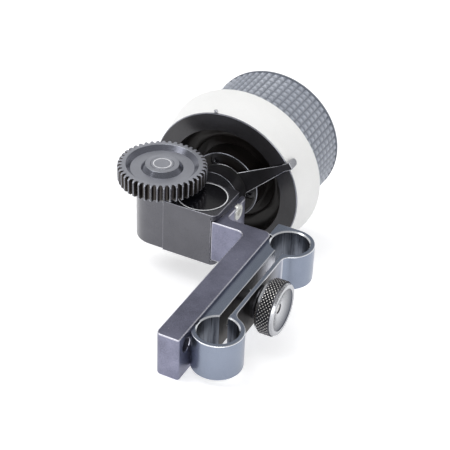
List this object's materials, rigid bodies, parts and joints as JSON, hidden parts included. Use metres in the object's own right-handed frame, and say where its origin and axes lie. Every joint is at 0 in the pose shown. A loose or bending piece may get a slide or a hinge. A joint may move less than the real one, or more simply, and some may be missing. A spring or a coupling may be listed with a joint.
{
  "type": "follow focus unit",
  "caption": "Geared focus drive for a camera rig: rod clamp, machined arm, small gearbox with a pitch gear on top, and a large handwheel with marking ring and pointer.",
  "frame": {"origin": "on the axis of the front rod bore, at the middle of the clamp's height", "axes": "+Z along the rods, +Y from the front rod bore to the rear one and on towards the handwheel, +X from the arm to the clamp knob"},
  "size_m": [0.0933, 0.1567, 0.0724],
  "materials": {
    "clamp_metal": "grey anodised, fine machined",
    "arm_metal": "grey anodised, fine machined",
    "housing_metal": "dark grey anodised",
    "black_metal": "black anodised, satin",
    "knob_metal": "knurled, bright face",
    "gear_metal": "grey, satin",
    "steel": "bright turned",
    "bronze": "turned bronze",
    "grip_rubber": "matte, moulded pyramids",
    "friction_plastic": "matte black",
    "ring_white": "smooth, takes pen marks"
  },
  "bodies": {
    "frame": {"rod_clamp": "clamp_metal", "arm_bracket": "arm_metal", "arm_screws": "steel", "gearbox_housing": "housing_metal", "housing_screws": "steel", "base_cover": "housing_metal", "base_screws": "steel", "top_disc": "black_metal", "boss_collar": "black_metal", "friction_ring": "friction_plastic", "wheel_bush_inner": "bronze", "wheel_bush_outer": "bronze", "idler_bush_upper": "bronze", "idler_bush_lower": "bronze", "drive_bush_upper": "bronze", "drive_bush_lower": "bronze"},
    "handwheel": {"wheel_disc": "black_metal", "marking_ring": "ring_white", "ring_pin": "steel", "disc_screws": "black_metal", "wheel_core": "black_metal", "wheel_shaft": "steel", "wheel_bevel": "bronze", "shaft_washer": "steel", "wheel_nut": "steel", "rubber_grip": "grip_rubber", "end_cap": "black_metal", "cap_screws": "steel"},
    "idler": {"idler_shaft": "steel", "idler_bevel": "bronze", "idler_spur": "bronze"},
    "drive": {"drive_shaft": "steel", "drive_pinion": "bronze", "drive_gear": "gear_metal", "drive_screw": "steel", "drive_cap": "black_metal"},
    "pointer": {"pointer": "black_metal"},
    "washer": {"thrust_washer": "steel"},
    "knob": {"clamp_knob": "knob_metal", "clamp_stud": "steel"}
  },
  "joints": [
    {"name": "handwheel_turn", "type": "hinge", "parent": "frame", "child": "handwheel", "pos_m": [-0.0456, 0.0944, 0], "axis": [0, 1, 0], "continuous": true},
    {"name": "idler_turn", "type": "hinge", "parent": "frame", "child": "idler", "pos_m": [-0.0456, 0.0665, 0], "axis": [0, 0, 1], "continuous": true},
    {"name": "drive_turn", "type": "hinge", "parent": "frame", "child": "drive", "pos_m": [-0.06, 0.0665, 0], "axis": [0, 0, 1], "continuous": true},
    {"name": "pointer_turn", "type": "hinge", "parent": "frame", "child": "pointer", "pos_m": [-0.0456, 0.0935, 0], "axis": [0, 1, 0], "continuous": true},
    {"name": "washer_slide", "type": "slide", "parent": "frame", "child": "washer", "axis": [1, 0, 0], "range_m": [0, 0.0015]},
    {"name": "knob_turn", "type": "hinge", "parent": "washer", "child": "knob", "pos_m": [0.004, 0.03, 0], "axis": [1, 0, 0], "range_deg": [0, 540]}
  ],
  "couplings": [
    {"joint": "idler_turn", "follows": "handwheel_turn", "ratio": 1},
    {"joint": "drive_turn", "follows": "handwheel_turn", "ratio": -1.1818},
    {"joint": "knob_turn", "follows": "washer_slide", "rad_per_m": 6283.2}
  ]
}
